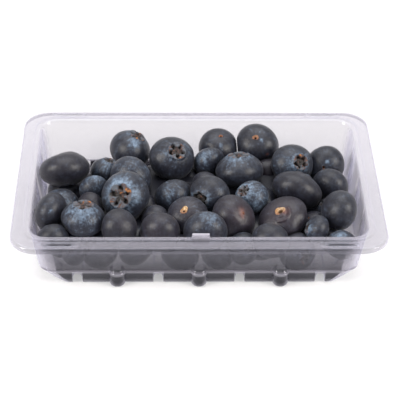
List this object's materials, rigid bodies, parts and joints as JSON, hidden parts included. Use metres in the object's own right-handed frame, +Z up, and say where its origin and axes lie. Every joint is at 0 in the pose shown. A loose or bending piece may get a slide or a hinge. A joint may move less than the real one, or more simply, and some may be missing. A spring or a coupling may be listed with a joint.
{
  "type": "punnet of blueberries",
  "caption": "Open clear plastic punnet with a wide flange, ribbed walls and vent channels, heaped with fresh blueberries.",
  "frame": {"origin": "bottom centre of the bounding box, on the surface the punnet stands on", "axes": "+X along the length to the right, +Y to the back, +Z up; the side with the latch tab faces -Y"},
  "size_m": [0.1432, 0.0964, 0.0308],
  "materials": {
    "clear_pet": "clear, glossy",
    "blueberry": "waxy skin with a pale bloom"
  },
  "bodies": {
    "root": {"tray": "clear_pet", "berries": "blueberry"}
  },
  "joints": []
}
